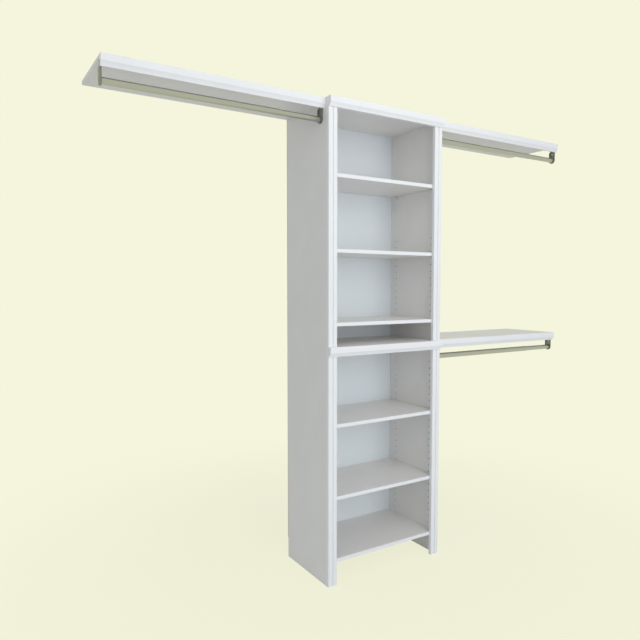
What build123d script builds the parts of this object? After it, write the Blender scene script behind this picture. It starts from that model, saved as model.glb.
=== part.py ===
"""Wall mounted closet system: a tower of two shelf units, three side shelves and their hang rods.

Frame: +X runs to the right along the wall, +Y into the wall, +Z up. The origin is on the floor,
at the middle of the system's width and depth. All lengths are in millimetres.
"""

from build123d import *
from math import radians, tan
import os

os.makedirs("parts", exist_ok=True)

# Tower of two stacked units
tower_width = 638.0
tower_depth = 360.0
unit_height = 1047.5
board = 16.0
back_board = 3.0
toe_space = 94.0
upper_toe_space = 86.5

# Fluted stiles on the front edges of the side panels
stile_width = 44.0
stile_thickness = 16.0
stile_round = 2.0
flute_width = 6.0
flute_depth = 2.8

# Rows of support holes in the side panels, counted from below, and the rows that carry the shelves
hole_pitch = 32.0
lower_hole_rows = 26
upper_hole_rows = 12
hole_diameter = 5.2
hole_depth = 10.0
first_hole_height = 139.0
hole_front_setback = 37.0
hole_column_spacing = 256.0
lower_low_row = 7
lower_high_row = 17
upper_low_row = 8
upper_high_row = 18
shelf_gap = 1.0

# Shelf supports: a peg with a leg and a ledge
peg_diameter = 5.0
peg_length = 9.5
support_width = 12.0
support_rise = 8.0
support_drop = 6.0
leg_thickness = 2.0
ledge_thickness = 2.5
ledge_length = 13.0

# Moulding on the front of the decks and side shelves
trim_height = 42.0
trim_fascia = 27.0
trim_slope = 8.0
trim_hollow = 1.0
trim_foot = 2.0
trim_bevel = 1.5
trim_thickness = 18.0
trim_overhang = 16.0

# Side shelves
side_shelf_length = 898.0
side_shelf_setback = 27.0

# Hang rods: a thick tube on the left, and a thinner one with an end cap that slides in it
rod_diameter = 26.0
rod_wall = 0.9
slide_gap = 0.1
outer_tube_share = 0.781
tube_overlap = 380.0
rod_drop = 68.0
end_cap_length = 14.0
end_cap_web = 2.0
rod_seat_gap = 0.3
rod_end_gap = 1.0

# Rod brackets: a rimmed plate with a cup open at the top, and a neck up to a tab under the shelf
bracket_setback = 1.0
bracket_plate = 3.0
bracket_rim_depth = 6.5
bracket_rim_wall = 2.5
bracket_top = 50.0
bracket_corner = 12.0
neck_width = 12.0
tab_length = 20.0
tab_width = 16.0
cup_wall = 3.7
cup_depth = 18.0
cup_lip = 4.0

# Countersunk screws of the brackets
screw_spacing = 32.0
screw_diameter = 4.0
screw_head_diameter = 8.0
screw_angle = 90.0
screw_length = 15.0
tab_screw_length = 13.0
screw_gap = 0.15
sink_gap = 0.2

# Cam locks and their bolts, which hold the fixed boards
cam_diameter = 15.0
cam_thickness = 12.0
cam_setback = 34.0
cam_gap = 0.1
cam_mouth = 7.0
bolt_diameter = 5.0
bolt_depth = 10.0
bolt_bore = 8.0
bolt_end_gap = 1.5

# Wooden dowels: upright ones between the units, level ones at the tower end of each side shelf
dowel_diameter = 8.0
dowel_length = 30.0
dowel_gap = 0.1
dowel_end_gap = 1.0
dowel_in_panel = 10.0
unit_dowel_front_setback = 88.0
unit_dowel_rear_setback = 62.0
shelf_dowel_front_setback = 130.0
shelf_dowel_rear_setback = 100.0

# Blind bore at the rear of each side shelf's free end, for a pin in the side wall
wall_pin_bore = 8.0
wall_pin_depth = 30.0

# Angle brackets on top of the tower, which hold it to the wall
angle_leg = 25.0
angle_width = 20.0
angle_thickness = 2.0
angle_spacing = 400.0
angle_hole_diameter = 5.0
angle_hole_height = 15.0
angle_screw_setback = 14.0
angle_screw_length = 14.0
pan_head_height = 2.4

# Hidden and small rounds are drawn with this many flat sides
small_sides = 5
disc_sides = 8
cap_sides = 24

# Planes and levels that follow from the sizes above
wall_y = (tower_depth + trim_overhang) / 2
stile_front_y = wall_y - tower_depth
trim_front_y = stile_front_y - trim_overhang
panel_front_y = stile_front_y + stile_thickness
back_front_y = wall_y - back_board
panel_depth = back_front_y - panel_front_y
panel_mid_y = (back_front_y + panel_front_y) / 2
side_trim_front_y = stile_front_y + side_shelf_setback
side_board_front_y = side_trim_front_y + trim_thickness
inner_width = tower_width - 2 * board
tower_half = tower_width / 2
tower_height = 2 * unit_height
hole_front_y = panel_front_y + hole_front_setback
hole_ys = (hole_front_y, hole_front_y + hole_column_spacing)
unit_dowel_ys = (panel_front_y + unit_dowel_front_setback, back_front_y - unit_dowel_rear_setback)
shelf_dowel_ys = (panel_front_y + shelf_dowel_front_setback, back_front_y - shelf_dowel_rear_setback)
rod_radius = rod_diameter / 2
inner_tube_radius = rod_radius - rod_wall - slide_gap
cup_radius = rod_radius + rod_seat_gap
bracket_half_width = cup_radius + cup_wall
rod_y = side_board_front_y + bracket_setback + bracket_half_width
screw_radius = screw_diameter / 2
screw_head_radius = screw_head_diameter / 2
screw_head_height = (screw_head_radius - screw_radius) / tan(radians(screw_angle / 2))
pilot_radius = screw_radius + screw_gap
sink_radius = screw_head_radius + sink_gap
rod_length = side_shelf_length - 2 * (bracket_plate + rod_end_gap)
outer_tube_length = outer_tube_share * rod_length
dowel_hole_radius = dowel_diameter / 2 + dowel_gap
angle_xs = (-angle_spacing / 2, angle_spacing / 2)
angle_screw_places = [(x, wall_y - angle_screw_setback) for x in angle_xs]

sides = {"left": -1, "right": 1}
unit_bases = {"lower": 0, "upper": unit_height}
unit_rows = {
    "lower": {"low": lower_low_row, "high": lower_high_row},
    "upper": {"low": upper_low_row, "high": upper_high_row},
}
hole_rows = {
    "lower": range(lower_hole_rows),
    "upper": (*range(upper_hole_rows), upper_high_row),
}

# Undersides of the boards that the cam locks hold between the side panels
fixed_boards = {
    "bottom_shelf": toe_space,
    "middle_deck": unit_height - board,
    "upper_bottom_shelf": unit_height + upper_toe_space,
    "top_panel": tower_height - board,
}

# Each side shelf: its side of the tower and the level of its top face
side_shelves = {
    "left_top": (-1, tower_height),
    "right_top": (1, tower_height),
    "right_middle": (1, unit_height),
}


def inner_face(side, level):
    """Plane on a side panel's inner face, looking into the tower, with its y axis up."""
    return Plane(origin=(side * inner_width / 2, 0, level), x_dir=(0, -side, 0), z_dir=(-side, 0, 0))


def outer_face(side, level):
    """Plane on a side panel's outer face, looking away from the tower, with its y axis up."""
    return Plane(origin=(side * tower_half, 0, level), x_dir=(0, side, 0), z_dir=(side, 0, 0))


def hole_level(unit, row):
    return unit_bases[unit] + first_hole_height + row * hole_pitch


def rod_level(shelf_top):
    return shelf_top - board - rod_drop


def rod_ends(side):
    """Where a rod's brackets stand, from left to right: the wall's x and the way the bracket looks."""
    return sorted([(side * tower_half, side), (side * (tower_half + side_shelf_length), -side)])


def tab_centre(wall_x, facing):
    reach = (bracket_rim_depth + tab_length) / 2
    return (wall_x + facing * reach, rod_y - bracket_half_width + tab_width / 2)


def tab_face(wall_x, facing, shelf_top):
    """Plane on the underside of a bracket's tab, where its screw's head lies, looking down."""
    return Plane(origin=(*tab_centre(wall_x, facing), shelf_top - board - bracket_plate), z_dir=(0, 0, -1))


def flat_sided_hole(radius, sides=small_sides):
    """A hole with flat sides, which a round peg of this radius still fits."""
    RegularPolygon(radius, sides, major_radius=False)


def save(sub_part, name):
    sub_part.part.label = name
    export_step(sub_part.part, f"parts/{name}.step")


# Side panels, with support holes, and holes for cam bolts, dowels and bracket screws
for unit, base in unit_bases.items():
    for side_name, side in sides.items():
        bolt_levels = [z + board / 2 for z in fixed_boards.values() if base <= z < base + unit_height]
        shelf_tops = [z for way, z in side_shelves.values() if way == side and base < z <= base + unit_height]
        panel_x = side * (tower_width - board) / 2
        with BuildPart() as side_panel:
            with BuildSketch(Plane.XY.offset(base)):
                with Locations((panel_x, panel_mid_y)):
                    Rectangle(board, panel_depth)
            extrude(amount=unit_height)
            with BuildSketch(inner_face(side, 0)):
                with Locations(*[(-side * y, hole_level(unit, row)) for y in hole_ys for row in hole_rows[unit]]):
                    flat_sided_hole(hole_diameter / 2)
            extrude(amount=-hole_depth, mode=Mode.SUBTRACT)
            with BuildSketch(inner_face(side, 0)):
                with Locations(*[(-side * y, z) for y in hole_ys for z in bolt_levels]):
                    flat_sided_hole(bolt_diameter / 2 + cam_gap)
            extrude(amount=-(bolt_depth + bolt_end_gap), mode=Mode.SUBTRACT)
            up_into_panel = -1 if unit == "lower" else 1
            with BuildSketch(Plane.XY.offset(unit_height)):
                with Locations(*[(panel_x, y) for y in unit_dowel_ys]):
                    flat_sided_hole(dowel_hole_radius)
            extrude(amount=up_into_panel * (dowel_length / 2 + dowel_end_gap), mode=Mode.SUBTRACT)
            for top in shelf_tops:
                with BuildSketch(outer_face(side, top - board / 2)):
                    with Locations(*[(side * y, 0) for y in shelf_dowel_ys]):
                        flat_sided_hole(dowel_hole_radius)
                extrude(amount=-(dowel_in_panel + dowel_end_gap), mode=Mode.SUBTRACT)
                with BuildSketch(outer_face(side, rod_level(top))):
                    with Locations((side * rod_y, 0), (side * rod_y, screw_spacing)):
                        flat_sided_hole(pilot_radius)
                extrude(amount=-(screw_length - bracket_plate + screw_gap), mode=Mode.SUBTRACT)
        save(side_panel, f"{unit}_{side_name}_side_panel")

# Fluted stiles, flush with the panels outside and standing past them inside
flute_radius = (flute_width / 2) ** 2 / (2 * flute_depth) + flute_depth / 2
for unit, base in unit_bases.items():
    for side_name, side in sides.items():
        stile_x = side * (tower_width - stile_width) / 2
        with BuildPart() as stile:
            with BuildSketch(Plane.XY.offset(base)) as stile_section:
                with Locations((stile_x, stile_front_y + stile_thickness / 2)):
                    Rectangle(stile_width, stile_thickness)
                fillet(stile_section.vertices().group_by(Axis.Y)[0], radius=stile_round)
                with Locations((stile_x, stile_front_y + flute_depth - flute_radius)):
                    Circle(flute_radius, mode=Mode.SUBTRACT)
            extrude(amount=unit_height - trim_height)
        save(stile, f"{unit}_{side_name}_stile")

# Fixed boards, with a pocket for each cam lock and a bore for its bolt
for name, underside in fixed_boards.items():
    pocket_face, pocket_way = (underside + board, -1) if name == "top_panel" else (underside, 1)
    with BuildPart() as fixed_board:
        with BuildSketch(Plane.XY.offset(underside)):
            with Locations((0, panel_mid_y)):
                Rectangle(inner_width, panel_depth)
        extrude(amount=board)
        with BuildSketch(Plane.XY.offset(pocket_face)):
            for side in sides.values():
                with Locations(*[(side * (inner_width / 2 - cam_setback), y) for y in hole_ys]):
                    flat_sided_hole(cam_diameter / 2 + cam_gap, disc_sides)
        extrude(amount=pocket_way * (cam_thickness + cam_gap), mode=Mode.SUBTRACT)
        for side in sides.values():
            with BuildSketch(inner_face(side, underside + board / 2)):
                with Locations(*[(-side * y, 0) for y in hole_ys]):
                    Rectangle(bolt_bore, bolt_bore)
            extrude(amount=cam_setback, mode=Mode.SUBTRACT)
        if name == "top_panel":
            with BuildSketch(Plane.XY.offset(tower_height)):
                with Locations(*angle_screw_places):
                    flat_sided_hole(pilot_radius)
            extrude(amount=angle_thickness - angle_screw_length - screw_gap, mode=Mode.SUBTRACT)
    save(fixed_board, name)

# Cam locks: discs with a mouth that takes the bolt's end
with BuildPart() as cam_locks:
    for name, underside in fixed_boards.items():
        open_face, way = (underside + board, -1) if name == "top_panel" else (underside, 1)
        for side in sides.values():
            cam_places = [(side * (inner_width / 2 - cam_setback), y) for y in hole_ys]
            with BuildSketch(Plane.XY.offset(open_face)):
                with Locations(*cam_places):
                    RegularPolygon(cam_diameter / 2, disc_sides)
            extrude(amount=way * cam_thickness)
            with BuildSketch(inner_face(side, underside + board / 2).offset(cam_setback)):
                with Locations(*[(-side * y, 0) for y in hole_ys]):
                    Rectangle(cam_mouth, cam_mouth)
            extrude(amount=-cam_diameter, mode=Mode.SUBTRACT)
save(cam_locks, "cam_locks")

# Cam bolts, which reach from the side panels into the cam locks
with BuildPart() as cam_bolts:
    for underside in fixed_boards.values():
        for side in sides.values():
            with BuildSketch(inner_face(side, underside + board / 2).offset(-bolt_depth)):
                with Locations(*[(-side * y, 0) for y in hole_ys]):
                    RegularPolygon(bolt_diameter / 2, small_sides)
            extrude(amount=bolt_depth + cam_setback - bolt_end_gap)
save(cam_bolts, "cam_bolts")

# Adjustable shelves, and the four supports under each
shelf_front_y = panel_front_y + shelf_gap
shelf_depth = back_front_y - shelf_gap - shelf_front_y
for unit, rows in unit_rows.items():
    for place, row in rows.items():
        with BuildPart() as shelf:
            with BuildSketch(Plane.XY.offset(hole_level(unit, row) + support_rise)):
                with Locations((0, shelf_front_y + shelf_depth / 2)):
                    Rectangle(inner_width - 2 * shelf_gap, shelf_depth)
            extrude(amount=board)
        save(shelf, f"{unit}_unit_{place}_shelf")
        with BuildPart() as supports:
            for side in sides.values():
                for y in hole_ys:
                    hole_mouth = (side * inner_width / 2, y, hole_level(unit, row))
                    with BuildSketch(Plane(origin=hole_mouth, x_dir=(-side, 0, 0), z_dir=(0, side, 0))):
                        with BuildLine():
                            Polyline(
                                (0, -support_drop),
                                (leg_thickness, -support_drop),
                                (leg_thickness, support_rise - ledge_thickness),
                                (ledge_length, support_rise - ledge_thickness),
                                (ledge_length, support_rise),
                                (0, support_rise),
                                close=True,
                            )
                        make_face()
                    extrude(amount=support_width / 2, both=True)
                with BuildSketch(inner_face(side, hole_level(unit, row))):
                    with Locations(*[(-side * y, 0) for y in hole_ys]):
                        RegularPolygon(peg_diameter / 2, small_sides)
                extrude(amount=-peg_length)
        save(supports, f"{unit}_unit_{place}_shelf_supports")

# Hardboard backs, laid over the rear edges of the panels
for unit, base in unit_bases.items():
    back_foot = toe_space if unit == "lower" else base
    with BuildPart() as back:
        with BuildSketch(Plane.XY.offset(back_foot)):
            with Locations((0, back_front_y + back_board / 2)):
                Rectangle(tower_width, back_board)
        extrude(amount=base + unit_height - back_foot)
    save(back, f"{unit}_back_panel")


def save_moulding(name, right_x, length, front_y, back_y, top):
    """A length of moulding: a flat fascia, a hollow slope and a narrow foot, drawn on its right end."""
    right_end = Plane(origin=(right_x, 0, top), x_dir=(0, -1, 0), z_dir=(-1, 0, 0))
    with BuildPart() as moulding:
        with BuildSketch(right_end) as section:
            with BuildLine():
                Polyline((-back_y, -trim_height), (-back_y, 0), (-front_y, 0), (-front_y, -trim_fascia))
                slope_end = (-front_y - trim_slope, trim_foot - trim_height)
                SagittaArc((-front_y, -trim_fascia), slope_end, -trim_hollow)
                Polyline(slope_end, (-front_y - trim_slope, -trim_height), (-back_y, -trim_height))
            make_face()
            top_front_corner = section.vertices().group_by(Axis.Y)[-1].sort_by(Axis.X)[-1]
            chamfer(top_front_corner, length=trim_bevel)
        extrude(amount=length)
    save(moulding, name)


for name, top in (("middle_moulding", unit_height), ("top_moulding", tower_height)):
    save_moulding(name, tower_half, tower_width, trim_front_y, panel_front_y, top)

# Side shelves with their mouldings, bored for dowels, wall pins and the brackets' tab screws
for shelf_name, (side, top) in side_shelves.items():
    tower_end_x = side * tower_half
    free_end_x = side * (tower_half + side_shelf_length)
    save_moulding(
        f"{shelf_name}_shelf_moulding",
        max(tower_end_x, free_end_x),
        side_shelf_length,
        side_trim_front_y,
        side_board_front_y,
        top,
    )
    with BuildPart() as side_shelf:
        with BuildSketch(Plane.XY.offset(top - board)):
            with Locations(((tower_end_x + free_end_x) / 2, (side_board_front_y + wall_y) / 2)):
                Rectangle(side_shelf_length, wall_y - side_board_front_y)
        extrude(amount=board)
        with BuildSketch(outer_face(side, top - board / 2)):
            with Locations(*[(side * y, 0) for y in shelf_dowel_ys]):
                flat_sided_hole(dowel_hole_radius)
        extrude(amount=dowel_length - dowel_in_panel + dowel_end_gap, mode=Mode.SUBTRACT)
        with BuildSketch(outer_face(side, top - board / 2).offset(side_shelf_length)):
            with Locations((side * shelf_dowel_ys[1], 0)):
                Circle(wall_pin_bore / 2)
        extrude(amount=-wall_pin_depth, mode=Mode.SUBTRACT)
        with BuildSketch(Plane.XY.offset(top - board)):
            with Locations(*[tab_centre(*end) for end in rod_ends(side)]):
                flat_sided_hole(pilot_radius)
        extrude(amount=tab_screw_length - bracket_plate + screw_gap, mode=Mode.SUBTRACT)
    save(side_shelf, f"{shelf_name}_shelf")


def draw_bracket_plate(inset):
    """Draw a bracket's plate, round below and square above, smaller all round by the inset."""
    half_width = bracket_half_width - inset
    height = bracket_top - inset
    Circle(half_width)
    with Locations((0, height / 2)):
        Rectangle(2 * half_width, height)


# Rod brackets, one at each end of each rod
for shelf_name, (side, top) in side_shelves.items():
    with BuildPart() as brackets:
        for wall_x, facing in rod_ends(side):
            seat = Plane(origin=(wall_x, rod_y, rod_level(top)), x_dir=(0, facing, 0), z_dir=(facing, 0, 0))
            with BuildSketch(seat) as plate:
                draw_bracket_plate(0)
                top_corners = plate.vertices().group_by(Axis.Y)[-1].sort_by(Axis.X)
                fillet(top_corners[-1] if facing > 0 else top_corners[0], radius=bracket_corner)
            extrude(amount=bracket_rim_depth)
            with BuildSketch(seat.offset(bracket_plate)):
                draw_bracket_plate(bracket_rim_wall)
            extrude(amount=bracket_rim_depth - bracket_plate, mode=Mode.SUBTRACT)
            with BuildSketch(seat):
                Circle(bracket_half_width)
                with Locations((0, cup_lip)):
                    Rectangle(2 * bracket_half_width, 2 * cup_lip)
                with Locations((0, cup_lip + bracket_half_width / 2)):
                    Rectangle(2 * bracket_half_width, bracket_half_width, mode=Mode.SUBTRACT)
                Circle(cup_radius, mode=Mode.SUBTRACT)
                with Locations((0, cup_radius / 2)):
                    Rectangle(2 * cup_radius, cup_radius, mode=Mode.SUBTRACT)
            extrude(amount=cup_depth)
            neck_x = facing * (neck_width / 2 - bracket_half_width)
            with BuildSketch(seat):
                with Locations((neck_x, (bracket_top + rod_drop) / 2)):
                    Rectangle(neck_width, rod_drop - bracket_top)
            extrude(amount=bracket_rim_depth)
            with BuildSketch(Plane.XY.offset(top - board)):
                with Locations((wall_x + facing * tab_length / 2, tab_centre(wall_x, facing)[1])):
                    Rectangle(tab_length, tab_width)
            extrude(amount=-bracket_plate)
            plate_holes = [(seat.offset(bracket_plate), (0, level)) for level in (0, screw_spacing)]
            for head_face, place in [*plate_holes, (tab_face(wall_x, facing, top), (0, 0))]:
                with BuildSketch(head_face):
                    with Locations(place):
                        flat_sided_hole(pilot_radius)
                extrude(amount=-bracket_plate, mode=Mode.SUBTRACT)
                mouth = brackets.edges(Select.LAST).group_by(Axis(head_face.origin, head_face.z_dir))[-1]
                chamfer(mouth, length=sink_radius - pilot_radius)
    save(brackets, f"{shelf_name}_rod_brackets")

# Bracket screws: two into the tower at each tower end, and one up through each tab
with BuildPart() as bracket_screws:
    for side, top in side_shelves.values():
        panel_seat = outer_face(side, rod_level(top)).offset(bracket_plate)
        screws = [(panel_seat, (side * rod_y, level), screw_length) for level in (0, screw_spacing)]
        screws += [(tab_face(*end, top), (0, 0), tab_screw_length) for end in rod_ends(side)]
        for head_face, place, length in screws:
            with BuildSketch(head_face):
                with Locations(place):
                    RegularPolygon(screw_head_radius, small_sides)
            extrude(amount=-screw_head_height, taper=screw_angle / 2)
            with BuildSketch(head_face):
                with Locations(place):
                    RegularPolygon(screw_radius, small_sides)
            extrude(amount=-length)
save(bracket_screws, "bracket_screws")

# Hang rods, each in three pieces
for shelf_name, (side, top) in side_shelves.items():
    end_inset = (side_shelf_length - rod_length) / 2
    left_x = rod_ends(side)[0][0] + end_inset
    right_x = rod_ends(side)[1][0] - end_inset
    left_end = Plane(origin=(left_x, rod_y, rod_level(top)), z_dir=(1, 0, 0))
    right_end = Plane(origin=(right_x, rod_y, rod_level(top)), z_dir=(-1, 0, 0))
    with BuildPart() as outer_tube:
        with BuildSketch(left_end):
            Circle(rod_radius)
            Circle(rod_radius - rod_wall, mode=Mode.SUBTRACT)
        extrude(amount=outer_tube_length)
    save(outer_tube, f"{shelf_name}_rod_outer_tube")
    with BuildPart() as inner_tube:
        with BuildSketch(right_end.offset(end_cap_web)):
            Circle(inner_tube_radius)
            Circle(inner_tube_radius - rod_wall, mode=Mode.SUBTRACT)
        extrude(amount=right_x - left_x - outer_tube_length + tube_overlap - end_cap_web)
    save(inner_tube, f"{shelf_name}_rod_inner_tube")
    with BuildPart() as end_cap:
        with BuildSketch(right_end):
            RegularPolygon(rod_radius, cap_sides)
        extrude(amount=end_cap_length)
        with BuildSketch(right_end.offset(end_cap_web)):
            flat_sided_hole(inner_tube_radius + slide_gap, cap_sides)
        extrude(amount=end_cap_length - end_cap_web, mode=Mode.SUBTRACT)
    save(end_cap, f"{shelf_name}_rod_end_cap")

# Dowels that line up the two units
with BuildPart() as unit_dowels:
    with BuildSketch(Plane.XY.offset(unit_height)):
        for side in sides.values():
            with Locations(*[(side * (tower_width - board) / 2, y) for y in unit_dowel_ys]):
                RegularPolygon(dowel_diameter / 2, small_sides)
    extrude(amount=dowel_length / 2, both=True)
save(unit_dowels, "unit_dowels")

# Dowels that carry the tower end of the side shelves
with BuildPart() as shelf_dowels:
    for side, top in side_shelves.values():
        with BuildSketch(outer_face(side, top - board / 2).offset(-dowel_in_panel)):
            with Locations(*[(side * y, 0) for y in shelf_dowel_ys]):
                RegularPolygon(dowel_diameter / 2, small_sides)
        extrude(amount=dowel_length)
save(shelf_dowels, "shelf_dowels")

# Wall angle brackets on top of the tower, with a hole in each leg
with BuildPart() as wall_angles:
    for angle_x in angle_xs:
        with BuildSketch(Plane(origin=(angle_x, wall_y, tower_height), x_dir=(0, -1, 0), z_dir=(-1, 0, 0))):
            with BuildLine():
                Polyline(
                    (0, 0),
                    (angle_leg, 0),
                    (angle_leg, angle_thickness),
                    (angle_thickness, angle_thickness),
                    (angle_thickness, angle_leg),
                    (0, angle_leg),
                    close=True,
                )
            make_face()
        extrude(amount=angle_width / 2, both=True)
    with BuildSketch(Plane(origin=(0, wall_y, tower_height), x_dir=(1, 0, 0), z_dir=(0, -1, 0))):
        with Locations(*[(angle_x, angle_hole_height) for angle_x in angle_xs]):
            Circle(angle_hole_diameter / 2)
    extrude(amount=angle_thickness, mode=Mode.SUBTRACT)
    with BuildSketch(Plane.XY.offset(tower_height)):
        with Locations(*angle_screw_places):
            flat_sided_hole(pilot_radius)
    extrude(amount=angle_thickness, mode=Mode.SUBTRACT)
save(wall_angles, "wall_angles")

# Pan head screws that hold the wall angles to the top panel
with BuildPart() as angle_screws:
    for radius, start, length in (
        (screw_head_radius, angle_thickness, pan_head_height),
        (screw_radius, angle_thickness, -angle_screw_length),
    ):
        with BuildSketch(Plane.XY.offset(tower_height + start)):
            with Locations(*angle_screw_places):
                RegularPolygon(radius, small_sides)
        extrude(amount=length)
save(angle_screws, "angle_screws")
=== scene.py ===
"""Dresses the packed closet system in its real finishes, lights it and sets the camera.

Lengths are in metres. +X runs to the right along the wall, +Y into the wall and +Z up.
"""

from math import asin, cos, pi, radians, sin

import bmesh
import bpy
from bpy.props import FloatProperty, FloatVectorProperty, IntProperty, PointerProperty
from bpy.types import Operator, Panel, PropertyGroup
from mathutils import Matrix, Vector


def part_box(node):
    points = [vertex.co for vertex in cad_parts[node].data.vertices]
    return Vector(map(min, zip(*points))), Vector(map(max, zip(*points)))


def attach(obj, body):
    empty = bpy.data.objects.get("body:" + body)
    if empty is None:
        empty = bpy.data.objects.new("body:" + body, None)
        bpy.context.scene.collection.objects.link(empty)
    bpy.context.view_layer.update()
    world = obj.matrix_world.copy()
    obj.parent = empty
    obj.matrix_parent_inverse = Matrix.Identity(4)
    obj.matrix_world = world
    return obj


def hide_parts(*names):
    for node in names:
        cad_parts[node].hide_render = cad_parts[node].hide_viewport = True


bl_info = {
    "name": "Closet system",
    "version": (1, 0, 0),
    "blender": (4, 5, 0),
    "location": "3D View > Sidebar > Closet",
    "description": "Builds the finishes, fittings, lights and camera of a closet tower with side shelves",
    "category": "Object",
}

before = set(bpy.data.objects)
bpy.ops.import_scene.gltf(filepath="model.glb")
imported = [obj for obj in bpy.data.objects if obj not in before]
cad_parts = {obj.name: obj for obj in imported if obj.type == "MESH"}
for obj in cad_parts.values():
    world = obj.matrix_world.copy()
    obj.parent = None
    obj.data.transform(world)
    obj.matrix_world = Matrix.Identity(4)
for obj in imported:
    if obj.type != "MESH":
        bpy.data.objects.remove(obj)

CARCASS = "tower_and_side_shelves"
UNITS = ("lower", "upper")
SIDES = ("left", "right")
SIDE_SHELVES = ("left_top", "right_top", "right_middle")
ADJUSTABLE_SHELVES = tuple(f"{unit}_unit_{place}_shelf" for unit in UNITS for place in ("low", "high"))
FIXED_BOARDS = ("bottom_shelf", "middle_deck", "upper_bottom_shelf", "top_panel")
MM = 0.001


# Sizes and finishes


def linear(hex_colour):
    """Turn an sRGB hex colour into the linear light that Blender's shaders expect."""
    channels = [int(hex_colour[i:i + 2], 16) / 255 for i in (1, 3, 5)]
    return tuple(c / 12.92 if c <= 0.04045 else ((c + 0.055) / 1.055) ** 2.4 for c in channels)


def colour(name, description, hex_colour):
    return FloatVectorProperty(
        name=name, description=description, subtype="COLOR", size=3, min=0, max=1, default=linear(hex_colour)
    )


def length(name, description, millimetres):
    return FloatProperty(name=name, description=description, default=millimetres * MM, min=0, unit="LENGTH")


def count(name, description, number):
    return IntProperty(name=name, description=description, default=number, min=1)


class ClosetSizes(PropertyGroup):
    edge_round: length("Board edge", "Rounding of the edge band on the boards", 0.7)
    hole_diameter: length("Support hole", "Diameter of the shelf support holes", 5.2)
    hole_depth: length("Support hole depth", "Depth of the shelf support holes", 10)
    hole_pitch: length("Hole pitch", "Distance between support holes in a column", 32)
    first_hole: length("First hole", "Height of the lowest support hole above the foot of its unit", 139)
    hole_setback: length("Hole setback", "Distance of the front column from the panel's front edge", 37)
    column_spacing: length("Column spacing", "Distance between the two columns of holes", 256)
    lower_rows: count("Lower rows", "Rows of support holes in the lower unit", 26)
    upper_rows: count("Upper rows", "Rows of support holes in the upper unit", 12)
    lone_row: count("Lone row", "Pitches from the first row to the one under the upper unit's high shelf", 18)
    moulding_fascia: length("Fascia", "Height of the flat upper part of the moulding", 25.5)
    moulding_slope: length("Slope", "How far the moulding falls back below its fascia", 10)
    moulding_hollow: length("Hollow", "Depth of the hollow in the moulding's slope", 0.6)
    moulding_foot: length("Foot", "Height of the upright foot below the moulding's slope", 0.8)
    moulding_round: length("Moulding edge", "Rounding of the moulding's edges", 1.2)
    stile_round: length("Stile edge", "Rounding of the stile's front edges", 2)
    flute_width: length("Flute width", "Width of the groove along each stile", 6)
    flute_depth: length("Flute depth", "Depth of the groove along each stile", 5)
    tube_wall: length("Tube wall", "Wall of the hang rod's tubes", 0.9)
    casting_round: length("Casting edge", "Rounding of the edges of the rod brackets", 0.6)
    cup_reach: length("Cup reach", "How far the rod brackets' cups stand out from the end wall", 7)


class ClosetFinishes(PropertyGroup):
    laminate: colour("Laminate", "White melamine laminate of the boards", "#F1EFEC")
    band: colour("Edge band", "White edge band on the boards' front edges", "#F3F5F7")
    foil: colour("Moulding foil", "White foil on the mouldings and stiles", "#F3F5F7")
    back: colour("Back lacquer", "White lacquer on the front of the hardboard backs", "#EEF5FA")
    hardboard: colour("Hardboard", "Bare rear of the hardboard backs", "#BC9870")
    chipboard: colour("Chipboard", "Bare core of the boards, inside drilled holes", "#8E7350")
    tube: colour("Rod nickel", "Satin nickel on the hang rods", "#B6B8B4")
    casting: colour("Bracket nickel", "Satin nickel on the cast rod brackets", "#8B8C88")
    zinc: colour("Zinc plate", "Zinc plate on supports, cams, wall angles and their screws", "#DEE0E0")
    beech: colour("Beech", "Bare beech of the dowels", "#C99F6B")
    background: colour("Background", "Pale background behind the closet", "#F5F5DD")


# Shared ways of making meshes

MERGE_DISTANCE = 1e-6
FLAT_ANGLE = 1
CORNER_ANGLE = 40
SOFT_ANGLE = 35
STEEL_ANGLE = 30
STEEL_ROUND = 0.4 * MM


def to_mesh(name, shape):
    mesh = bpy.data.meshes.new(name)
    shape.to_mesh(mesh)
    shape.free()
    return mesh


def new_piece(name, data):
    piece = bpy.data.objects.new(name, data)
    bpy.context.scene.collection.objects.link(piece)
    return piece


def bake_modifiers(piece):
    """Turn a piece's modifiers into plain mesh, so that nothing on it stays live."""
    graph = bpy.context.evaluated_depsgraph_get()
    mesh = bpy.data.meshes.new_from_object(piece.evaluated_get(graph), depsgraph=graph)
    piece.modifiers.clear()
    piece.data = mesh


def cut_away(piece, cutter):
    """Cut one piece's shape out of another and remove the cutter."""
    cut = piece.modifiers.new("cut", "BOOLEAN")
    cut.operation = "DIFFERENCE"
    cut.object = cutter
    bpy.context.view_layer.update()
    bake_modifiers(piece)
    bpy.data.objects.remove(cutter)


def dress(piece, body, slot, *nodes):
    """Tie a finished piece to the body it moves with and hide the solids it stands for; the finish slot is
    not used.
    """
    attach(piece, body)
    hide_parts(*nodes)


def smooth_by_angle(mesh, degrees):
    """Shade a mesh smooth, but for edges that turn by more than an angle."""
    mesh.polygons.foreach_set("use_smooth", [True] * len(mesh.polygons))
    mesh.set_sharp_from_angle(angle=radians(degrees))


def rounded_box(name, low, high, edge):
    """A board between two corners, with its edges rounded."""
    shape = bmesh.new()
    bmesh.ops.create_cube(shape, size=1)
    size = Vector(high) - Vector(low)
    middle = (Vector(high) + Vector(low)) / 2
    for vertex in shape.verts:
        vertex.co = Vector(a * b for a, b in zip(vertex.co, size)) + middle
    bmesh.ops.bevel(shape, geom=shape.edges[:], offset=edge, segments=2, profile=0.5, affect="EDGES")
    return to_mesh(name, shape)


def arc(centre, radius, start, end, steps):
    """Points of an arc in a plane, with its angles in degrees."""
    angles = [radians(start + (end - start) * i / steps) for i in range(steps + 1)]
    return [(centre[0] + radius * cos(a), centre[1] + radius * sin(a)) for a in angles]


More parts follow.
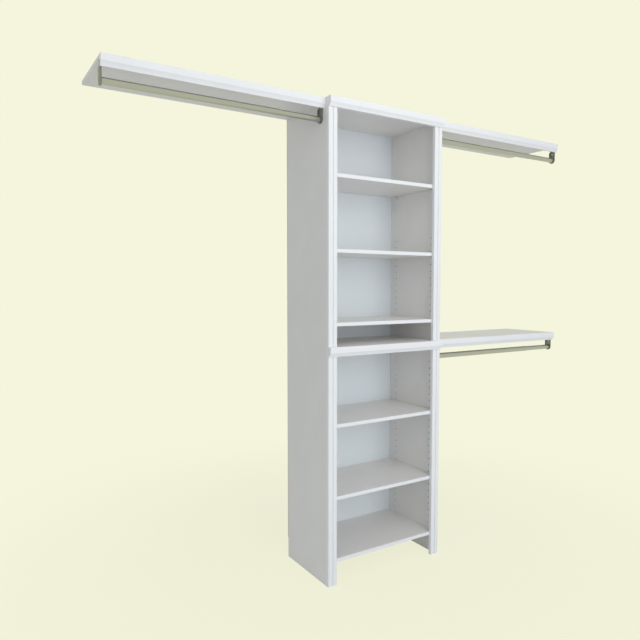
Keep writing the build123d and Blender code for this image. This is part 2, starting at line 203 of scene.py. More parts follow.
def sunk_arc(start, end, depth, steps):
    """Points of an arc between two points, sunk by a depth to the left of the straight way."""
    start, end = Vector(start), Vector(end)
    ahead = (end - start).normalized()
    left = Vector((-ahead.y, ahead.x))
    half = (end - start).length / 2
    radius = (half ** 2 + depth ** 2) / (2 * depth)
    centre = (start + end) / 2 + left * (depth - radius)
    swing = asin(half / radius)
    angles = [swing * (2 * i / steps - 1) for i in range(steps + 1)]
    return [tuple(centre + ahead * (radius * sin(a)) + left * (radius * cos(a))) for a in angles]


def extruded(name, outline, place, run):
    """A bar that carries a flat outline along a run; place() turns an outline point into space."""
    shape = bmesh.new()
    near = [shape.verts.new(place(*point)) for point in outline]
    far = [shape.verts.new(Vector(place(*point)) + Vector(run)) for point in outline]
    shape.faces.new(near)
    shape.faces.new(list(reversed(far)))
    for i in range(len(outline)):
        j = (i + 1) % len(outline)
        shape.faces.new((near[j], near[i], far[i], far[j]))
    bmesh.ops.recalc_face_normals(shape, faces=shape.faces[:])
    mesh = to_mesh(name, shape)
    smooth_by_angle(mesh, SOFT_ANGLE)
    return mesh


def lathed(name, profile, segments, place, closed=False):
    """A turned form from (along, radius) points; place() turns (along, across, up) into space."""
    shape = bmesh.new()
    rings = []
    for along, radius in profile:
        if radius == 0:
            rings.append([shape.verts.new(place(along, 0, 0))])
            continue
        turns = [2 * pi * i / segments for i in range(segments)]
        rings.append([shape.verts.new(place(along, radius * cos(t), radius * sin(t))) for t in turns])
    pairs = list(zip(rings, rings[1:]))
    if closed:
        pairs.append((rings[-1], rings[0]))
    for first, second in pairs:
        for i in range(segments):
            j = (i + 1) % segments
            around = ((first, i), (first, j), (second, j), (second, i))
            shape.faces.new(list(dict.fromkeys(ring[k % len(ring)] for ring, k in around)))
    bmesh.ops.recalc_face_normals(shape, faces=shape.faces[:])
    mesh = to_mesh(name, shape)
    smooth_by_angle(mesh, SOFT_ANGLE)
    return mesh


def softened_copy(name, node, edge):
    """A CAD node's mesh with its loose triangles merged into flat faces and its edges rounded."""
    shape = bmesh.new()
    shape.from_mesh(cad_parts[node].data)
    bmesh.ops.remove_doubles(shape, verts=shape.verts[:], dist=MERGE_DISTANCE)
    flat = radians(FLAT_ANGLE)
    bmesh.ops.dissolve_limit(shape, angle_limit=flat, verts=shape.verts[:], edges=shape.edges[:])
    piece = new_piece(name, to_mesh(name, shape))
    bevel = piece.modifiers.new("rounding", "BEVEL")
    bevel.width = edge
    bevel.segments = 2
    bevel.limit_method = "ANGLE"
    bevel.angle_limit = radians(CORNER_ANGLE)
    bake_modifiers(piece)
    smooth_by_angle(piece.data, STEEL_ANGLE)
    return piece


# Node trees

DRILL_SIDES = 20
HEAD_SIDES = 32


def add(tree, kind, inputs=None, **settings):
    """Add a node with its settings; an input is a value for its socket or an output to link."""
    node = tree.nodes.new(kind)
    for key, value in settings.items():
        setattr(node, key, value)
    for key, value in (inputs or {}).items():
        if isinstance(value, bpy.types.NodeSocket):
            tree.links.new(value, node.inputs[key])
        else:
            node.inputs[key].default_value = value
    return node


def new_geometry_tree(name, sockets):
    """A Geometry Nodes tree with named inputs; it returns the tree and the outputs of its input node."""
    tree = bpy.data.node_groups.new(name, "GeometryNodeTree")
    tree.interface.new_socket("Geometry", in_out="INPUT", socket_type="NodeSocketGeometry")
    for label, kind in sockets.items():
        tree.interface.new_socket(label, in_out="INPUT", socket_type=kind)
    tree.interface.new_socket("Geometry", in_out="OUTPUT", socket_type="NodeSocketGeometry")
    return tree, add(tree, "NodeGroupInput").outputs


def grow(name, tree, mesh, values):
    """Run a Geometry Nodes tree on a mesh with these inputs and keep the result as plain mesh."""
    piece = new_piece(name, mesh)
    modifier = piece.modifiers.new(tree.name, "NODES")
    modifier.node_group = tree
    for item in tree.interface.items_tree:
        if item.in_out == "INPUT" and item.name in values:
            modifier[item.identifier] = values[item.name]
    bake_modifiers(piece)
    return piece


def line_bored_tree():
    """Two columns of blind holes drilled into one face of a panel, with lone rows above them."""
    tree, given = new_geometry_tree("line_bored_panel", {
        "Columns apart": "NodeSocketFloat",
        "Pitch": "NodeSocketFloat",
        "Rows": "NodeSocketInt",
        "Lone rows": "NodeSocketInt",
        "Lone height": "NodeSocketVector",
        "Middle": "NodeSocketVector",
        "Diameter": "NodeSocketFloat",
        "Depth": "NodeSocketFloat",
        "Face material": "NodeSocketMaterial",
        "Core material": "NodeSocketMaterial",
    })
    gaps = add(tree, "ShaderNodeMath", {0: given["Rows"], 1: 1.0}, operation="SUBTRACT")
    height = add(tree, "ShaderNodeMath", {0: given["Pitch"], 1: gaps.outputs[0]}, operation="MULTIPLY")
    places = add(tree, "GeometryNodeMeshGrid", {
        "Size X": given["Columns apart"],
        "Size Y": height.outputs[0],
        "Vertices X": 2,
        "Vertices Y": given["Rows"],
    })
    radius = add(tree, "ShaderNodeMath", {0: given["Diameter"], 1: 2.0}, operation="DIVIDE")
    reach = add(tree, "ShaderNodeMath", {0: given["Depth"], 1: 2.0}, operation="MULTIPLY")
    drill = add(tree, "GeometryNodeMeshCylinder", {
        "Vertices": DRILL_SIDES, "Radius": radius.outputs[0], "Depth": reach.outputs[0],
    })
    lone = add(tree, "GeometryNodeMeshGrid", {
        "Size X": given["Columns apart"], "Size Y": 0.0, "Vertices X": 2, "Vertices Y": given["Lone rows"],
    })
    lone_places = add(tree, "GeometryNodeTransform", {
        "Geometry": lone.outputs["Mesh"], "Translation": given["Lone height"],
    })
    all_places = add(tree, "GeometryNodeJoinGeometry", {"Geometry": places.outputs["Mesh"]})
    tree.links.new(lone_places.outputs[0], all_places.inputs[0])
    drills = add(tree, "GeometryNodeInstanceOnPoints", {
        "Points": all_places.outputs[0], "Instance": drill.outputs["Mesh"],
    })
    solid_drills = add(tree, "GeometryNodeRealizeInstances", {"Geometry": drills.outputs[0]})
    turned = add(tree, "GeometryNodeTransform", {
        "Geometry": solid_drills.outputs[0], "Translation": given["Middle"], "Rotation": (pi / 2, 0, pi / 2),
    })
    core = add(tree, "GeometryNodeSetMaterial", {
        "Geometry": turned.outputs[0], "Material": given["Core material"],
    })
    face = add(tree, "GeometryNodeSetMaterial", {
        "Geometry": given["Geometry"], "Material": given["Face material"],
    })
    bored = add(tree, "GeometryNodeMeshBoolean", {
        "Mesh 1": face.outputs[0], "Mesh 2": core.outputs[0],
    }, operation="DIFFERENCE")
    real = add(tree, "GeometryNodeRealizeInstances", {"Geometry": bored.outputs[0]})
    is_core = add(tree, "GeometryNodeMaterialSelection", {"Material": given["Core material"]})
    last = add(tree, "GeometryNodeSetMaterial", {
        "Geometry": real.outputs[0], "Selection": is_core.outputs[0], "Material": given["Core material"],
    })
    add(tree, "NodeGroupOutput", {"Geometry": last.outputs[0]})
    return tree


def fitting_tree():
    """Copies of one fitting on marked points, each turned to its own outward and upward direction."""
    tree, given = new_geometry_tree("fittings_on_points", {
        "Fitting": "NodeSocketObject",
        "Material": "NodeSocketMaterial",
    })
    outward, upward = [
        add(tree, "GeometryNodeInputNamedAttribute", {"Name": name}, data_type="FLOAT_VECTOR")
        for name in ("outward", "upward")
    ]
    turn = add(tree, "FunctionNodeAxesToRotation", {
        "Primary Axis": outward.outputs["Attribute"], "Secondary Axis": upward.outputs["Attribute"],
    }, primary_axis="Z", secondary_axis="X")
    fitting = add(tree, "GeometryNodeObjectInfo", {"Object": given["Fitting"]})
    copies = add(tree, "GeometryNodeInstanceOnPoints", {
        "Points": given["Geometry"], "Instance": fitting.outputs["Geometry"], "Rotation": turn.outputs[0],
    })
    real = add(tree, "GeometryNodeRealizeInstances", {"Geometry": copies.outputs[0]})
    last = add(tree, "GeometryNodeSetMaterial", {"Geometry": real.outputs[0], "Material": given["Material"]})
    add(tree, "NodeGroupOutput", {"Geometry": last.outputs[0]})
    return tree


def cross_recess_tree():
    """A cross recess for a screwdriver, cut into the top of a head that looks up."""
    tree, given = new_geometry_tree("cross_recess", {
        "Length": "NodeSocketFloat",
        "Width": "NodeSocketFloat",
        "Depth": "NodeSocketFloat",
        "Top": "NodeSocketFloat",
    })
    reach = add(tree, "ShaderNodeMath", {0: given["Depth"], 1: 2.0}, operation="MULTIPLY")
    size = add(tree, "ShaderNodeCombineXYZ", {0: given["Length"], 1: given["Width"], 2: reach.outputs[0]})
    place = add(tree, "ShaderNodeCombineXYZ", {2: given["Top"]})
    blade = add(tree, "GeometryNodeMeshCube", {"Size": size.outputs[0]})
    cuts = [
        add(tree, "GeometryNodeTransform", {
            "Geometry": blade.outputs["Mesh"], "Translation": place.outputs[0], "Rotation": (0, 0, turn),
        })
        for turn in (0, pi / 2)
    ]
    cut = add(tree, "GeometryNodeMeshBoolean", {
        "Mesh 1": given["Geometry"], "Mesh 2": cuts[0].outputs[0],
    }, operation="DIFFERENCE")
    tree.links.new(cuts[1].outputs[0], cut.inputs["Mesh 2"])
    real = add(tree, "GeometryNodeRealizeInstances", {"Geometry": cut.outputs[0]})
    # No finish yet: the copies of the head get theirs where they are placed.
    bare = add(tree, "GeometryNodeSetMaterial", {"Geometry": real.outputs[0]})
    add(tree, "NodeGroupOutput", {"Geometry": bare.outputs[0]})
    return tree


def recessed_head(name, profile, recess):
    """A turned fitting with a cross recess in its top.

    The profile is (height, radius) points, and the recess its length, width and depth.
    """
    mesh = lathed(name, profile, HEAD_SIDES, lambda along, across, up: (across, up, along))
    tree = bpy.data.node_groups.get("cross_recess") or cross_recess_tree()
    top = max(height for height, radius in profile)
    length, width, depth = recess
    piece = grow(name, tree, mesh, {"Length": length, "Width": width, "Depth": depth, "Top": top})
    smooth_by_angle(piece.data, STEEL_ANGLE)
    return piece


def place_fittings(name, fitting, places, material):
    """Set copies of a fitting at (point, outward, upward) places and remove the first one."""
    tree = bpy.data.node_groups.get("fittings_on_points") or fitting_tree()
    marks = bpy.data.meshes.new(name + "_marks")
    marks.from_pydata([place[0] for place in places], [], [])
    for index, label in ((1, "outward"), (2, "upward")):
        layer = marks.attributes.new(label, "FLOAT_VECTOR", "POINT")
        layer.data.foreach_set("vector", [v for place in places for v in place[index]])
    piece = grow(name, tree, marks, {"Fitting": fitting, "Material": material_named(material)})
    bpy.data.objects.remove(fitting)
    return piece


# Materials

# A noise pattern hardly leaves this range.
NOISE_LOW, NOISE_HIGH = 0.3, 0.7


def new_material(name):
    """A new material, given with its empty tree, its Object coordinates and the closet's colours."""
    material = bpy.data.materials.new(name)
    material.use_nodes = True
    tree = material.node_tree
    tree.nodes.clear()
    at = add(tree, "ShaderNodeTexCoord").outputs["Object"]
    return material, tree, at, bpy.context.scene.closet_finishes


def finish_material(tree, base, relief, depth, **constants):
    """Close a material with its surface relief, its shader and its output."""
    bump = add(tree, "ShaderNodeBump", {"Height": relief, "Strength": 1.0, "Distance": depth})
    inputs = {"Base Color": base, "Normal": bump.outputs["Normal"], **constants}
    shader = add(tree, "ShaderNodeBsdfPrincipled", inputs)
    add(tree, "ShaderNodeOutputMaterial", {"Surface": shader.outputs[0]})


def tinted(tree, factor, low, high, tone):
    """The tone, scaled from low to high as a pattern's factor goes from NOISE_LOW to NOISE_HIGH."""
    ramp = add(tree, "ShaderNodeMapRange", {
        "Value": factor, "From Min": NOISE_LOW, "From Max": NOISE_HIGH, "To Min": low, "To Max": high,
    })
    mixed = add(tree, "ShaderNodeVectorMath", {0: tuple(tone), "Scale": ramp.outputs[0]}, operation="SCALE")
    return mixed.outputs[0]


def white_melamine():
    """White melamine laminate, pressed on chipboard: a dull sheen with a fine pearl in it."""
    material, tree, at, finishes = new_material("white_melamine_laminate")
    # Pressed pearl grain of 1.5 mm; the real one is about 0.5 mm, too fine to show.
    pearl = add(tree, "ShaderNodeTexNoise", {"Vector": at, "Scale": 1 / (1.5 * MM), "Detail": 2.0})
    # Slight unevenness over a hand's width, as on a wiped and handled board.
    cloud = add(tree, "ShaderNodeTexNoise", {"Vector": at, "Scale": 1 / (160 * MM), "Detail": 3.0})
    base = tinted(tree, cloud.outputs["Fac"], 0.975, 1.01, finishes.laminate)
    finish_material(tree, base, pearl.outputs["Fac"], 0.03 * MM, Roughness=0.42)
    return material


def edge_banding():
    """White edge band, ironed on the boards' front edges: smooth, cold white and satin."""
    material, tree, at, finishes = new_material("white_edge_band")
    # The band dips a little where the glue has shrunk, every 12 mm or so.
    dips = add(tree, "ShaderNodeTexNoise", {"Vector": at, "Scale": 1 / (12 * MM), "Detail": 1.0})
    base = tinted(tree, dips.outputs["Fac"], 0.985, 1.01, finishes.band)
    finish_material(tree, base, dips.outputs["Fac"], 0.03 * MM, Roughness=0.36)
    return material


def foil_wrapped():
    """White foil wrapped on fibreboard: smooth and a little glossier than the laminate."""
    material, tree, at, finishes = new_material("white_foil_on_fibreboard")
    # Ripple of the glue line under the foil, about 9 mm from crest to crest.
    ripple = add(tree, "ShaderNodeTexNoise", {"Vector": at, "Scale": 1 / (9 * MM), "Detail": 1.0})
    # Slight unevenness of the foil's print over a hand's width.
    cloud = add(tree, "ShaderNodeTexNoise", {"Vector": at, "Scale": 1 / (120 * MM), "Detail": 2.0})
    base = tinted(tree, cloud.outputs["Fac"], 0.985, 1.01, finishes.foil)
    finish_material(tree, base, ripple.outputs["Fac"], 0.04 * MM, Roughness=0.33)
    return material


def lacquered_hardboard():
    """Hardboard with a thin cold white lacquer: flat, with the pressed fibres just showing."""
    material, tree, at, finishes = new_material("lacquered_hardboard")
    # Fibre bundles about 3 mm long show through as a faint mottle.
    fibre = add(tree, "ShaderNodeTexNoise", {
        "Vector": at, "Scale": 1 / (3 * MM), "Detail": 4.0, "Roughness": 0.6,
    })
    base = tinted(tree, fibre.outputs["Fac"], 0.975, 1.01, finishes.back)
    finish_material(tree, base, fibre.outputs["Fac"], 0.05 * MM, Roughness=0.55)
    return material


def bare_hardboard():
    """Bare rear of hardboard: brown fibres with the criss-cross print of the press screen."""
    material, tree, at, finishes = new_material("bare_hardboard")
    fibre = add(tree, "ShaderNodeTexNoise", {
        "Vector": at, "Scale": 1 / (4 * MM), "Detail": 6.0, "Roughness": 0.7,
    })
    # Screen print with a wire every 2.5 mm; a real screen is finer, about 1.5 mm.
    warp = add(tree, "ShaderNodeTexWave", {"Vector": at, "Scale": 1 / (8 * MM)}, bands_direction="X")
    weft = add(tree, "ShaderNodeTexWave", {"Vector": at, "Scale": 1 / (8 * MM)}, bands_direction="Z")
    screen = add(tree, "ShaderNodeMath", {
        0: warp.outputs["Fac"], 1: weft.outputs["Fac"],
    }, operation="MULTIPLY")
    base = tinted(tree, fibre.outputs["Fac"], 0.8, 1.15, finishes.hardboard)
    finish_material(tree, base, screen.outputs[0], 0.15 * MM, Roughness=0.85)
    return material


def chipboard_core():
    """Cut chipboard inside a drilled hole: pale and dark chips of about 2 mm, pressed with glue."""
    material, tree, at, finishes = new_material("chipboard_core")
    chips = add(tree, "ShaderNodeTexVoronoi", {"Vector": at, "Scale": 1 / (2 * MM)})
    shade = add(tree, "ShaderNodeSeparateColor", {"Color": chips.outputs["Color"]})
    base = tinted(tree, shade.outputs[0], 0.6, 1.1, finishes.chipboard)
    finish_material(tree, base, chips.outputs["Distance"], 0.2 * MM, Roughness=0.9)
    return material


def satin_nickel_tube():
    """Steel tube, polished along its length and satin nickel plated: fine lines along the rod."""
    material, tree, at, finishes = new_material("nickel_plated_tube")
    # Polishing lines 0.8 mm apart round the tube and some 60 mm long.
    along = add(tree, "ShaderNodeMapping", {
        "Vector": at, "Scale": (1 / (60 * MM), 1 / (0.8 * MM), 1 / (0.8 * MM)),
    })
    lines = add(tree, "ShaderNodeTexNoise", {"Vector": along.outputs[0], "Scale": 1.0, "Detail": 2.0})
    base = tinted(tree, lines.outputs["Fac"], 0.96, 1.03, finishes.tube)
    finish_material(tree, base, lines.outputs["Fac"], 0.01 * MM, Metallic=1.0, Roughness=0.34)
    return material


def satin_nickel_casting():
    """Zinc die casting with satin nickel plate: duller and darker than the tube, with a cast skin."""
    material, tree, at, finishes = new_material("nickel_plated_casting")
    # The cast skin is pebbled every 2 mm or so.
    skin = add(tree, "ShaderNodeTexNoise", {"Vector": at, "Scale": 1 / (2 * MM), "Detail": 2.0})
    base = tinted(tree, skin.outputs["Fac"], 0.93, 1.05, finishes.casting)
    finish_material(tree, base, skin.outputs["Fac"], 0.05 * MM, Metallic=1.0, Roughness=0.42)
    return material


def zinc_plate():
    """Bright zinc plate on steel: bluish white metal with faint clouds, some 6 mm wide."""
    material, tree, at, finishes = new_material("bright_zinc_plate")
    cloud = add(tree, "ShaderNodeTexNoise", {"Vector": at, "Scale": 1 / (6 * MM), "Detail": 3.0})
    base = tinted(tree, cloud.outputs["Fac"], 0.9, 1.05, finishes.zinc)
    finish_material(tree, base, cloud.outputs["Fac"], 0.02 * MM, Metallic=1.0, Roughness=0.32)
    return material


def turned_beech():
    """Bare turned beech: warm and dull, with short brown flecks of 1.5 mm."""
    material, tree, at, finishes = new_material("turned_beech")
    flecks = add(tree, "ShaderNodeTexNoise", {"Vector": at, "Scale": 1 / (1.5 * MM), "Detail": 4.0})
    base = tinted(tree, flecks.outputs["Fac"], 0.82, 1.08, finishes.beech)
    finish_material(tree, base, flecks.outputs["Fac"], 0.05 * MM, Roughness=0.7)
    return material


MATERIAL_MAKERS = {
    "white_melamine_laminate": white_melamine,
    "white_edge_band": edge_banding,
    "white_foil_on_fibreboard": foil_wrapped,
    "lacquered_hardboard": lacquered_hardboard,
    "bare_hardboard": bare_hardboard,
    "chipboard_core": chipboard_core,
    "nickel_plated_tube": satin_nickel_tube,
    "nickel_plated_casting": satin_nickel_casting,
    "bright_zinc_plate": zinc_plate,
    "turned_beech": turned_beech,
}


def material_named(name):
    return bpy.data.materials.get(name) or MATERIAL_MAKERS[name]()


def paint(piece, *names):
    """Give a piece these materials, with the first one on all its faces."""
    piece.data.materials.clear()
    for name in names:
        piece.data.materials.append(material_named(name))


def looks_forward(polygon):
    """Whether a face is turned less than 60 degrees away from the front."""
    return polygon.normal.y < -0.5


# Boards and panels

BACK_ROUND = 0.2 * MM


class CLOSET_OT_side_panels(Operator):
    """Side panels with two columns of shelf support holes in their inner faces"""

    bl_idname = "closet.side_panels"
    bl_label = "Side panels"

    def execute(self, context):
        sizes = context.scene.closet_sizes
        tree = line_bored_tree()
        for unit in UNITS:
            rows = sizes.lower_rows if unit == "lower" else sizes.upper_rows
            middle_row = (rows - 1) / 2
            for side in SIDES:
                node = f"{unit}_{side}_side_panel"
                low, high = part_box(node)
                middle = (
                    high.x if side == "left" else low.x,
                    low.y + sizes.hole_setback + sizes.column_spacing / 2,
                    low.z + sizes.first_hole + sizes.hole_pitch * middle_row,
                )
                piece = grow(node + "_board", tree, rounded_box(node, low, high, sizes.edge_round), {
                    "Columns apart": sizes.column_spacing,
                    "Pitch": sizes.hole_pitch,
                    "Rows": rows,
                    "Lone rows": 0 if unit == "lower" else 1,
                    "Lone height": (0, sizes.hole_pitch * (sizes.lone_row - middle_row), 0),
                    "Middle": middle,
                    "Diameter": sizes.hole_diameter,
                    "Depth": sizes.hole_depth,
                    "Face material": material_named("white_melamine_laminate"),
                    "Core material": material_named("chipboard_core"),
                })
                dress(piece, CARCASS, "white_laminate_board", node)
        return {"FINISHED"}


class CLOSET_OT_boards(Operator):
    """Fixed boards, adjustable shelves and side shelves with banded edges"""

    bl_idname = "closet.boards"
    bl_label = "Boards and shelves"

    def execute(self, context):
        edge = context.scene.closet_sizes.edge_round
        boards = [(node, CARCASS) for node in FIXED_BOARDS]
        boards += [(f"{name}_shelf", CARCASS) for name in SIDE_SHELVES]
        boards += [(node, f"{node}_body") for node in ADJUSTABLE_SHELVES]
        for node, body in boards:
            piece = new_piece(node + "_board", rounded_box(node, *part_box(node), edge))
            paint(piece, "white_melamine_laminate", "white_edge_band")
            for polygon in piece.data.polygons:
                polygon.material_index = 1 if looks_forward(polygon) else 0
            dress(piece, body, "white_laminate_board", node)
        return {"FINISHED"}


class CLOSET_OT_backs(Operator):
    """Hardboard backs, lacquered in front and bare behind"""

    bl_idname = "closet.backs"
    bl_label = "Back panels"

    def execute(self, context):
        for unit in UNITS:
            node = f"{unit}_back_panel"
            piece = new_piece(node + "_sheet", rounded_box(node, *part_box(node), BACK_ROUND))
            paint(piece, "lacquered_hardboard", "bare_hardboard")
            for polygon in piece.data.polygons:
                polygon.material_index = 0 if looks_forward(polygon) else 1
            dress(piece, CARCASS, "white_hardboard", node)
        return {"FINISHED"}


# Stiles and mouldings

FLUTE_LIP = 0.3 * MM
# The moulding's brow turns this many degrees from its fascia towards its slope.
BROW_TURN = 32


class CLOSET_OT_stiles(Operator):
    """Fluted stiles on the front edges of the side panels"""

    bl_idname = "closet.stiles"
    bl_label = "Fluted stiles"

    def execute(self, context):
        sizes = context.scene.closet_sizes
        edge = sizes.stile_round
        half_flute = sizes.flute_width / 2
        for unit in UNITS:
            for side in SIDES:
                node = f"{unit}_{side}_stile"
                low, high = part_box(node)
                middle = (low.x + high.x) / 2
                left, right = middle - half_flute, middle + half_flute
                outline = [(low.x, high.y)]
                outline += arc((low.x + edge, low.y + edge), edge, 180, 270, 6)
                outline += [(left - FLUTE_LIP, low.y), (left, low.y + FLUTE_LIP)]
                outline += arc((middle, low.y + sizes.flute_depth - half_flute), half_flute, 180, 0, 14)
                outline += [(right, low.y + FLUTE_LIP), (right + FLUTE_LIP, low.y)]
                outline += arc((high.x - edge, low.y + edge), edge, 270, 360, 6)
                outline += [(high.x, high.y)]
                mesh = extruded(node, outline, lambda x, y, z=low.z: (x, y, z), (0, 0, high.z - low.z))
                piece = new_piece(node + "_bar", mesh)
                paint(piece, "white_foil_on_fibreboard")
                dress(piece, CARCASS, "white_painted_moulding", node)
        return {"FINISHED"}


class CLOSET_OT_mouldings(Operator):
    """Mouldings along the decks and side shelves: a fascia over a hollow slope"""

    bl_idname = "closet.mouldings"
    bl_label = "Mouldings"

    def execute(self, context):
        sizes = context.scene.closet_sizes
        edge = sizes.moulding_round
        small_edge = edge / 2
        nodes = ["middle_moulding", "top_moulding"] + [f"{name}_shelf_moulding" for name in SIDE_SHELVES]
        for node in nodes:
            low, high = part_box(node)
            brow = high.z - sizes.moulding_fascia
            foot = low.y + sizes.moulding_slope
            slope_start = (low.y + small_edge, brow - small_edge)
            slope_end = (foot, low.z + sizes.moulding_foot)
            outline = [(high.y, low.z), (high.y, high.z)]
            outline += arc((low.y + edge, high.z - edge), edge, 90, 180, 5)
            outline += arc((low.y + small_edge, brow + small_edge), small_edge, 180, 180 + BROW_TURN, 3)
            outline += sunk_arc(slope_start, slope_end, sizes.moulding_hollow, 10)
            outline += arc((foot + small_edge, low.z + small_edge), small_edge, 180, 270, 4)
            mesh = extruded(node, outline, lambda y, z, x=low.x: (x, y, z), (high.x - low.x, 0, 0))
            piece = new_piece(node + "_bar", mesh)
            paint(piece, "white_foil_on_fibreboard")
            dress(piece, CARCASS, "white_painted_moulding", node)
        return {"FINISHED"}


# Hang rods

ROD_SIDES = 64
TUBE_ROUND = 0.35 * MM
CAP_WEB = 2.0 * MM
CAP_ROUND = 1.2 * MM
CUT_OVERRUN = 2.0 * MM
CUT_ROUND = 0.1 * MM


def along_rod(middle):
    """Turn (along, across, up) about a rod's axis into space."""
    return lambda along, across, up: (along, middle.y + across, middle.z + up)


def tube_profile(start, end, radius, bore):
    """(along, radius) points of an open tube with eased ends."""
    edge = TUBE_ROUND
    return [
        (start, bore + edge), (start, radius - edge), (start + edge, radius),
        (end - edge, radius), (end, radius - edge), (end, bore + edge),
        (end - edge, bore), (start + edge, bore),
    ]


def cap_profile(start, end, radius, bore):
    """(along, radius) points of a cap that is open at its start and has a rounded closed end."""
    edge = TUBE_ROUND
    inside = [(end - CAP_WEB, 0), (end - CAP_WEB, bore), (start + edge, bore), (start, bore + edge)]
    outside = [(start, radius - edge), (start + edge, radius)]
    return inside + outside + arc((end - CAP_ROUND, radius - CAP_ROUND), CAP_ROUND, 90, 0, 5) + [(end, 0)]


# Each part of a rod: its name, the body it moves with and its profile
ROD_PARTS = (
    ("outer_tube", "rod_outer", tube_profile),
    ("inner_tube", "rod_inner", tube_profile),
    ("end_cap", "rod_inner", cap_profile),
)


class CLOSET_OT_hang_rods(Operator):
    """Telescoping hang rods with a capped thinner tube"""

    bl_idname = "closet.hang_rods"
    bl_label = "Hang rods"

    def execute(self, context):
        wall = context.scene.closet_sizes.tube_wall
        for name in SIDE_SHELVES:
            for part, body, profile in ROD_PARTS:
                node = f"{name}_rod_{part}"
                low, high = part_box(node)
                radius = (high.z - low.z) / 2
                points = profile(low.x, high.x, radius, radius - wall)
                axis = along_rod((low + high) / 2)
                mesh = lathed(node, points, ROD_SIDES, axis, closed=profile is tube_profile)
                piece = new_piece(node + "_turned", mesh)
                paint(piece, "nickel_plated_tube")
                dress(piece, f"{name}_{body}", "satin_nickel_tube", node)
        return {"FINISHED"}


class CLOSET_OT_rod_brackets(Operator):
    """Cast cup brackets at both ends of each hang rod"""

    bl_idname = "closet.rod_brackets"
    bl_label = "Rod brackets"

    def execute(self, context):
        sizes = context.scene.closet_sizes
        for name in SIDE_SHELVES:
            node = f"{name}_rod_brackets"
            piece = softened_copy(node + "_castings", node, sizes.casting_round)
            low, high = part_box(node)
            rod_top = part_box(f"{name}_rod_outer_tube")[1].z
            # Both cups are cut back to their reach; the tabs above the rod stay whole.
            cut_low = (low.x + sizes.cup_reach, low.y - CUT_OVERRUN, low.z - CUT_OVERRUN)
            cut_high = (high.x - sizes.cup_reach, high.y + CUT_OVERRUN, rod_top + CUT_OVERRUN)
            cut_away(piece, new_piece("between", rounded_box("between", cut_low, cut_high, CUT_ROUND)))
            smooth_by_angle(piece.data, STEEL_ANGLE)
            paint(piece, "nickel_plated_casting")
            dress(piece, CARCASS, "dark_nickel_bracket", node)
        return {"FINISHED"}


# Fittings

# Depths of the two columns of holes, and how far the side panels' faces are from the middle
FRONT_HOLES_Y, REAR_HOLES_Y = -0.119, 0.137
INNER_FACE_X, OUTER_FACE_X = 0.303, 0.319

# Cam locks; the mouth is where the bolt's head goes in
CAM_RADIUS, CAM_THICKNESS, CAM_EDGE = 7.5 * MM, 12 * MM, 0.4 * MM
CAM_RECESS = (7 * MM, 1.4 * MM, 2.5 * MM)
CAM_INSET = 34 * MM
MOUTH_LOW = (0, -3.5 * MM, -11.5 * MM)
MOUTH_HIGH = (9 * MM, 3.5 * MM, -4.5 * MM)
MOUTH_ROUND = 0.3 * MM

# Screws by their heads: (height, radius) points in millimetres, from the tip to the top
SCREWS = {
    "countersunk": ((-13, 0), (-10, 1.9), (-2, 1.9), (-0.2, 3.9), (0, 3.8), (0, 0)),
    "pan": (
        (-13.8, 0), (-10.8, 1.9), (0, 1.9), (0, 3.9), (1.2, 3.8), (1.9, 3.2), (2.3, 2.0), (2.4, 0),
    ),
}
SCREW_RECESS = (3.8 * MM, 0.8 * MM, 1.5 * MM)

# Places of the screws
ROD_Y = -0.109
BRACKET_PLATE = 3 * MM
BRACKET_PITCH = 32 * MM
TAB_THICKNESS = 3 * MM
TAB_SCREW_INSET = 13.25 * MM
TAB_SCREW_Y = -0.118
ANGLE_SCREW_X, ANGLE_SCREW_Y, ANGLE_SCREW_Z = 0.2, 0.174, 2.097


class CLOSET_OT_supports(Operator):
    """Pegged steel supports under the adjustable shelves"""

    bl_idname = "closet.supports"
    bl_label = "Shelf supports"

    def execute(self, context):
        for shelf in ADJUSTABLE_SHELVES:
            node = f"{shelf}_supports"
            piece = softened_copy(node + "_pressed", node, STEEL_ROUND)
            paint(piece, "bright_zinc_plate")
            dress(piece, CARCASS, "zinc_plated_steel", node)
        return {"FINISHED"}


class CLOSET_OT_wall_angles(Operator):
    """Steel angles that hold the tower's top to the wall"""

    bl_idname = "closet.wall_angles"
    bl_label = "Wall angles"

    def execute(self, context):
        piece = softened_copy("wall_angles_pressed", "wall_angles", STEEL_ROUND)
        paint(piece, "bright_zinc_plate")
        dress(piece, CARCASS, "zinc_plated_steel", "wall_angles")
        return {"FINISHED"}


class CLOSET_OT_cam_locks(Operator):
    """Round cam locks with a cross recess, at the ends of the fixed boards"""

    bl_idname = "closet.cam_locks"
    bl_label = "Cam locks"

    def execute(self, context):
        profile = [
            (-CAM_THICKNESS, 0), (-CAM_THICKNESS, CAM_RADIUS), (-CAM_EDGE, CAM_RADIUS),
            (0, CAM_RADIUS - CAM_EDGE), (0, 0),
        ]
        cam = recessed_head("cam", profile, CAM_RECESS)
        cut_away(cam, new_piece("mouth", rounded_box("mouth", MOUTH_LOW, MOUTH_HIGH, MOUTH_ROUND)))
        places = []
        for node in FIXED_BOARDS:
            low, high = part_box(node)
            # The top panel's cams are let in from above, the others from below.
            level, way = (high.z, 1) if node == "top_panel" else (low.z, -1)
            for side in (-1, 1):
                for y in (FRONT_HOLES_Y, REAR_HOLES_Y):
                    places.append(((side * (INNER_FACE_X - CAM_INSET), y, level), (0, 0, way), (side, 0, 0)))
        piece = place_fittings("cam_locks_turned", cam, places, "bright_zinc_plate")
        dress(piece, CARCASS, "zinc_plated_steel", "cam_locks")
        return {"FINISHED"}


